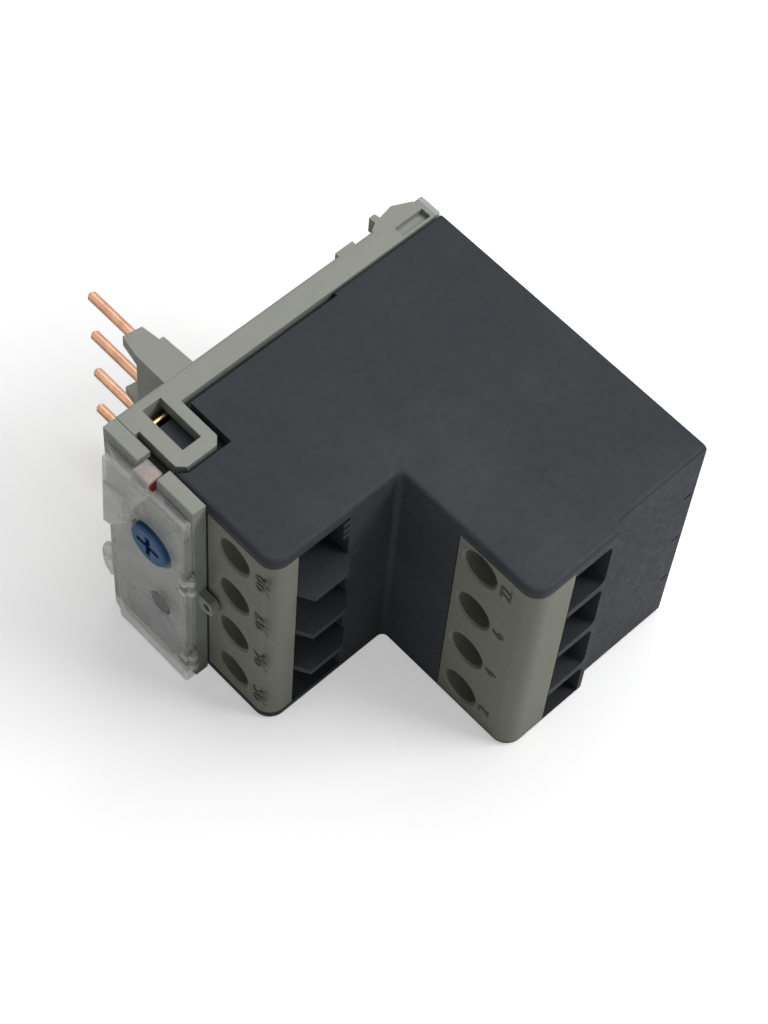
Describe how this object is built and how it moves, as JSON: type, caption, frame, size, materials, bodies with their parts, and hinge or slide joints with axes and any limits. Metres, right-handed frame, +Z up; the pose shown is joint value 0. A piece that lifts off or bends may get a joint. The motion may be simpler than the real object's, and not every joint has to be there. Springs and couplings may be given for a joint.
{
  "type": "thermal_overload_relay",
  "caption": "Direct-mount thermal overload relay for a 45 mm contactor: four copper pins, clear hinged cover, setting dial, reset, stop and test buttons",
  "frame": {"origin": "middle of the bounding box, at the height of its lowest face", "axes": "X from the contactor side (pins) to the wire side, Y from the front face into the device, Z up from the side face that it lies on; metres"},
  "size_m": [0.0786, 0.0608, 0.045],
  "materials": {
    "black_plastic": "textured black moulding",
    "grey_plastic": "light grey moulding",
    "rear_grey": "pale grey moulding",
    "clear_plastic": "frosted clear moulding",
    "blue_plastic": "blue moulding",
    "red_plastic": "red moulding",
    "test_grey": "mid grey moulding",
    "copper": "bright copper",
    "brass": "bright brass",
    "plated_steel": "zinc plated",
    "spring_steel": "drawn wire",
    "bimetal": "rolled strip",
    "sleeve_cloth": "woven glass sleeve",
    "white_plastic": "natural moulding"
  },
  "bodies": {
    "housing": {"main_housing": "black_plastic", "contactor_side_cover": "grey_plastic", "rear_plate": "rear_grey", "aux_terminal_block": "grey_plastic", "main_terminal_block": "grey_plastic", "front_plate": "grey_plastic", "cover_hinge_pins": "plated_steel", "reset_spring": "spring_steel", "stop_spring": "spring_steel", "test_spring": "spring_steel", "power_pin_1": "copper", "power_pin_2": "copper", "power_pin_3": "copper", "link_pin": "copper", "link_bar": "copper", "aux_terminal_screws": "plated_steel", "main_terminal_screws": "plated_steel", "aux_terminal_clamps": "plated_steel", "main_terminal_clamps": "plated_steel", "no_contact_left": "brass", "no_contact_right": "brass", "nc_contact_left": "brass", "nc_contact_right": "brass", "mechanism_frame": "white_plastic", "rocker_pivot": "plated_steel", "coil_link_pin": "brass", "pole_bar_1": "copper", "bimetal_strip_1": "bimetal", "heater_sleeve_1": "sleeve_cloth", "heater_winding_1": "plated_steel", "pole_bar_2": "copper", "bimetal_strip_2": "bimetal", "heater_sleeve_2": "sleeve_cloth", "heater_winding_2": "plated_steel", "pole_bar_3": "copper", "bimetal_strip_3": "bimetal", "heater_sleeve_3": "sleeve_cloth", "heater_winding_3": "plated_steel"},
    "cover": {"clear_cover": "clear_plastic"},
    "dial": {"setting_dial": "blue_plastic", "dial_cam": "white_plastic"},
    "adjuster": {"adjusting_slide": "white_plastic", "compensation_strip": "bimetal"},
    "reset": {"reset_button": "blue_plastic"},
    "stop": {"stop_button": "red_plastic"},
    "test": {"test_button": "test_grey"},
    "slide": {"trip_slide": "white_plastic"},
    "rocker": {"contact_rocker": "white_plastic", "contact_bridges": "brass"}
  },
  "joints": [
    {"name": "cover_swing", "type": "hinge", "parent": "housing", "child": "cover", "pos_m": [0.00135, -0.0287, 0.0225], "axis": [0, 0, 1], "range_deg": [0, 100]},
    {"name": "dial_turn", "type": "hinge", "parent": "housing", "child": "dial", "pos_m": [-0.00575, -0.0255, 0.0312], "axis": [0, -1, 0], "range_deg": [-120, 120]},
    {"name": "adjuster_shift", "type": "slide", "parent": "housing", "child": "adjuster", "axis": [0, 0, 1], "range_m": [-0.00033, 0.00033]},
    {"name": "reset_press", "type": "slide", "parent": "housing", "child": "reset", "axis": [0, 1, 0], "range_m": [0, 0.0012], "stiffness_N_per_m": 600, "springref_m": -0.0008, "deforming": ["reset_spring"]},
    {"name": "stop_press", "type": "slide", "parent": "housing", "child": "stop", "axis": [0, 1, 0], "range_m": [0, 0.0007], "stiffness_N_per_m": 500, "springref_m": -0.0008, "deforming": ["stop_spring"]},
    {"name": "test_press", "type": "slide", "parent": "housing", "child": "test", "axis": [0, 1, 0], "range_m": [0, 0.0007], "stiffness_N_per_m": 500, "springref_m": -0.0008, "deforming": ["test_spring"]},
    {"name": "trip_slide_shift", "type": "slide", "parent": "housing", "child": "slide", "axis": [0, 0, -1], "range_m": [0, 0.0015], "stiffness_N_per_m": 60, "springref_m": -0.0005},
    {"name": "rocker_turn", "type": "hinge", "parent": "housing", "child": "rocker", "pos_m": [-0.00345, -0.0091, 0.0225], "axis": [-1, 0, 0], "range_deg": [0, 20.5]}
  ],
  "couplings": [
    {"joint": "dial_turn", "follows": "adjuster_shift", "rad_per_m": 6283.2},
    {"joint": "rocker_turn", "follows": "trip_slide_shift", "rad_per_m": 232}
  ]
}
